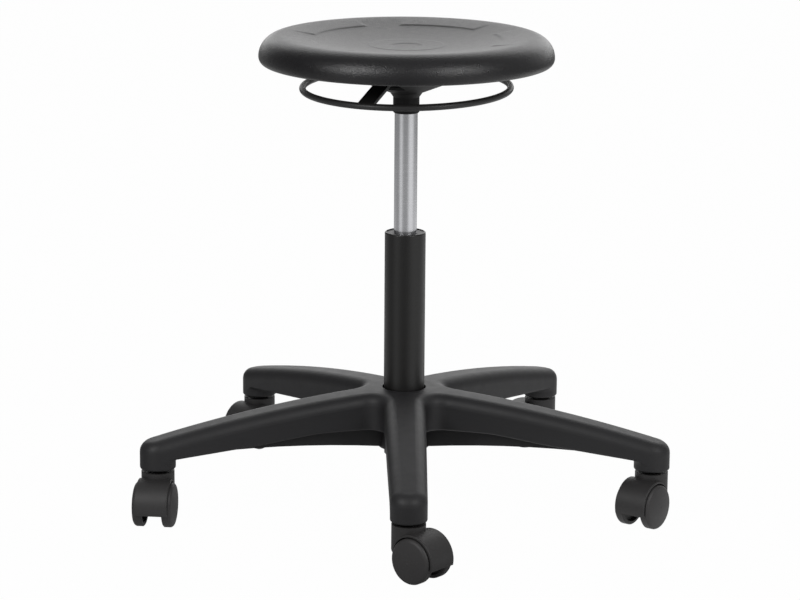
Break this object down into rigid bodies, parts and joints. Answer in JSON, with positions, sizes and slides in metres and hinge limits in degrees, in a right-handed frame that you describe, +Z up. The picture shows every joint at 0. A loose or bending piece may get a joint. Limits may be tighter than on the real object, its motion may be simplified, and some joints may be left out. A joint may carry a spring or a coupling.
{
  "type": "rolling stool",
  "caption": "Height-adjustable rolling stool: round moulded foam seat on a gas-spring column with a release ring, a moulded star base and hooded casters",
  "frame": {"origin": "on the floor, on the axis of the column, where the wheels stand", "axes": "+Z up the column, -Y along the front arm of the base, +X to the right of it"},
  "size_m": [0.6486, 0.6423, 0.5827],
  "materials": {
    "seat_foam": "satin",
    "base_nylon": "satin",
    "caster_nylon": "satin",
    "wheel_nylon": "satin",
    "tube_black": "satin",
    "cylinder_grey": "satin",
    "mount_black": "satin",
    "lever_black": "satin",
    "plain_steel": "satin",
    "stem_black": "satin",
    "bush_plastic": "satin",
    "rubber_black": "matte",
    "board_wood": "matte",
    "insert_brass": "satin"
  },
  "bodies": {
    "base": {"star_base": "base_nylon", "column_tube": "tube_black", "column_end_plate": "plain_steel", "guide_bush": "bush_plastic", "bearing_lower_race": "plain_steel", "bearing_cage": "plain_steel", "bearing_balls": "plain_steel", "caster_stems": "stem_black", "stem_grip_rings": "plain_steel", "stem_snap_rings": "plain_steel"},
    "piston": {"piston_rod": "plain_steel", "piston": "plain_steel", "piston_seal": "rubber_black", "bearing_upper_race": "plain_steel", "rubber_buffer": "rubber_black", "rod_washer": "plain_steel", "retaining_clip": "plain_steel"},
    "seat": {"gas_cylinder": "cylinder_grey", "rod_guide": "bush_plastic", "rod_seal": "rubber_black", "valve_body": "plain_steel", "seat_mount": "mount_black", "mount_plate": "mount_black", "lever_pivot_pin": "plain_steel", "seat_board": "board_wood", "threaded_inserts": "insert_brass", "seat_screws": "plain_steel", "seat_washers": "plain_steel", "seat_cushion": "seat_foam"},
    "release_lever": {"release_strap": "lever_black", "release_ring": "lever_black"},
    "valve_pin_body": {"valve_pin": "plain_steel"},
    "caster_front": {"caster_front_hood": "caster_nylon", "caster_front_axle": "plain_steel"},
    "wheel_front_left": {"caster_front_wheel_left": "wheel_nylon"},
    "wheel_front_right": {"caster_front_wheel_right": "wheel_nylon"},
    "caster_right": {"caster_right_hood": "caster_nylon", "caster_right_axle": "plain_steel"},
    "wheel_right_left": {"caster_right_wheel_left": "wheel_nylon"},
    "wheel_right_right": {"caster_right_wheel_right": "wheel_nylon"},
    "caster_back_right": {"caster_back_right_hood": "caster_nylon", "caster_back_right_axle": "plain_steel"},
    "wheel_back_right_left": {"caster_back_right_wheel_left": "wheel_nylon"},
    "wheel_back_right_right": {"caster_back_right_wheel_right": "wheel_nylon"},
    "caster_back_left": {"caster_back_left_hood": "caster_nylon", "caster_back_left_axle": "plain_steel"},
    "wheel_back_left_left": {"caster_back_left_wheel_left": "wheel_nylon"},
    "wheel_back_left_right": {"caster_back_left_wheel_right": "wheel_nylon"},
    "caster_left": {"caster_left_hood": "caster_nylon", "caster_left_axle": "plain_steel"},
    "wheel_left_left": {"caster_left_wheel_left": "wheel_nylon"},
    "wheel_left_right": {"caster_left_wheel_right": "wheel_nylon"}
  },
  "joints": [
    {"name": "seat_swivel", "type": "hinge", "parent": "base", "child": "piston", "pos_m": [0, 0, 0.0752], "axis": [0, 0, 1], "continuous": true},
    {"name": "height_adjust", "type": "slide", "parent": "piston", "child": "seat", "axis": [0, 0, 1], "range_m": [-0.13, 0]},
    {"name": "lever_lift", "type": "hinge", "parent": "seat", "child": "release_lever", "pos_m": [-0.00988, -0.02187, 0.52705], "axis": [-0.9114, 0.4115, 0], "range_deg": [0, 6], "stiffness_Nm_per_rad": 25, "springref_deg": -1.72},
    {"name": "valve_press", "type": "slide", "parent": "seat", "child": "valve_pin_body", "axis": [0, 0, -1], "range_m": [0, 0.0026]},
    {"name": "caster_front_swivel", "type": "hinge", "parent": "base", "child": "caster_front", "pos_m": [0, -0.3137, 0.05], "axis": [0, 0, 1], "continuous": true},
    {"name": "wheel_front_left_roll", "type": "hinge", "parent": "caster_front", "child": "wheel_front_left", "pos_m": [0.01509, -0.32682, 0.027], "axis": [0.6561, 0.7547, 0], "continuous": true},
    {"name": "wheel_front_right_roll", "type": "hinge", "parent": "caster_front", "child": "wheel_front_right", "pos_m": [0.01509, -0.32682, 0.027], "axis": [0.6561, 0.7547, 0], "continuous": true},
    {"name": "caster_right_swivel", "type": "hinge", "parent": "base", "child": "caster_right", "pos_m": [0.29835, -0.09694, 0.05], "axis": [0, 0, 1], "continuous": true},
    {"name": "wheel_right_left_roll", "type": "hinge", "parent": "caster_right", "child": "wheel_right_left", "pos_m": [0.28659, -0.11312, 0.027], "axis": [0.809, -0.5878, 0], "continuous": true},
    {"name": "wheel_right_right_roll", "type": "hinge", "parent": "caster_right", "child": "wheel_right_right", "pos_m": [0.28659, -0.11312, 0.027], "axis": [0.809, -0.5878, 0], "continuous": true},
    {"name": "caster_back_right_swivel", "type": "hinge", "parent": "base", "child": "caster_back_right", "pos_m": [0.18439, 0.25379, 0.05], "axis": [0, 0, 1], "continuous": true},
    {"name": "wheel_back_right_left_roll", "type": "hinge", "parent": "caster_back_right", "child": "wheel_back_right_left", "pos_m": [0.16439, 0.25414, 0.027], "axis": [-0.0175, -0.9998, 0], "continuous": true},
    {"name": "wheel_back_right_right_roll", "type": "hinge", "parent": "caster_back_right", "child": "wheel_back_right_right", "pos_m": [0.16439, 0.25414, 0.027], "axis": [-0.0175, -0.9998, 0], "continuous": true},
    {"name": "caster_back_left_swivel", "type": "hinge", "parent": "base", "child": "caster_back_left", "pos_m": [-0.18439, 0.25379, 0.05], "axis": [0, 0, 1], "continuous": true},
    {"name": "wheel_back_left_left_roll", "type": "hinge", "parent": "caster_back_left", "child": "wheel_back_left_left", "pos_m": [-0.1967, 0.23803, 0.027], "axis": [0.788, -0.6157, 0], "continuous": true},
    {"name": "wheel_back_left_right_roll", "type": "hinge", "parent": "caster_back_left", "child": "wheel_back_left_right", "pos_m": [-0.1967, 0.23803, 0.027], "axis": [0.788, -0.6157, 0], "continuous": true},
    {"name": "caster_left_swivel", "type": "hinge", "parent": "base", "child": "caster_left", "pos_m": [-0.29835, -0.09694, 0.05], "axis": [0, 0, 1], "continuous": true},
    {"name": "wheel_left_left_roll", "type": "hinge", "parent": "caster_left", "child": "wheel_left_left", "pos_m": [-0.30113, -0.11674, 0.027], "axis": [0.9903, -0.1392, 0], "continuous": true},
    {"name": "wheel_left_right_roll", "type": "hinge", "parent": "caster_left", "child": "wheel_left_right", "pos_m": [-0.30113, -0.11674, 0.027], "axis": [0.9903, -0.1392, 0], "continuous": true}
  ],
  "couplings": [
    {"joint": "valve_press", "follows": "lever_lift", "m_per_rad": 0.024}
  ]
}
